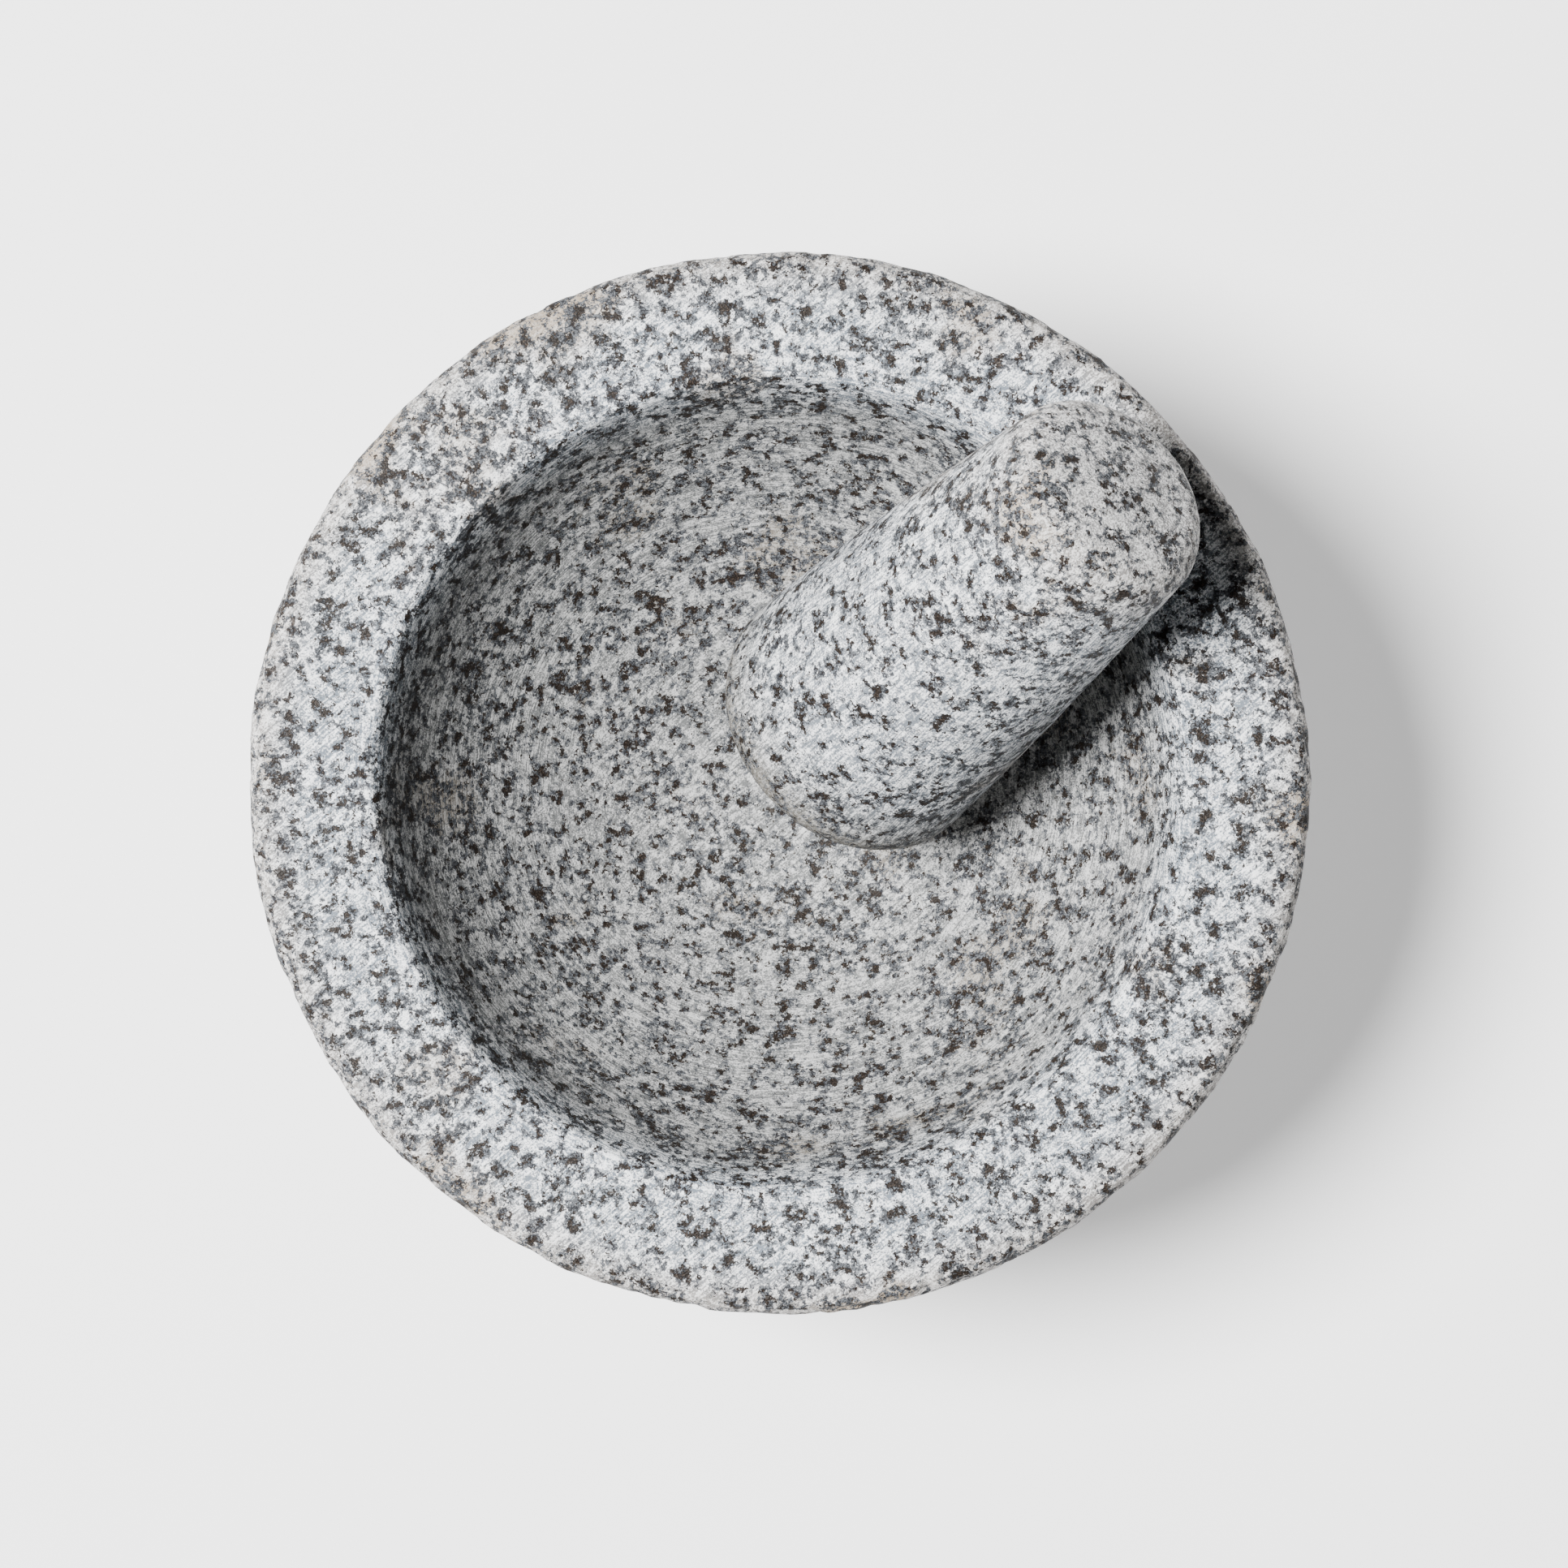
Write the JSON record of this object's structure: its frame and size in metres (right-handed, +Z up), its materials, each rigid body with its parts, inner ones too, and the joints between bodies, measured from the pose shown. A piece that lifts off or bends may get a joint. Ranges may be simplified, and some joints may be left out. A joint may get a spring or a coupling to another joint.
{
  "type": "molcajete",
  "caption": "Round granite mortar with a wide flat rim, a deep rounded bowl and a flat foot, and a short tapered pestle that leans in the bowl and lifts out.",
  "frame": {"origin": "centre of the underside of the mortar's foot, on the surface it stands on", "axes": "+Z up along the bowl's axis; the pestle leans 41 degrees from +X towards +Y"},
  "size_m": [0.203, 0.203, 0.1505],
  "materials": {
    "granite": "honed"
  },
  "bodies": {
    "mortar": {"mortar": "granite"},
    "pestle": {"pestle": "granite"}
  },
  "joints": [
    {"name": "pestle_lift", "type": "slide", "parent": "mortar", "child": "pestle", "axis": [0, 0, 1], "range_m": [0, 0.12]}
  ]
}
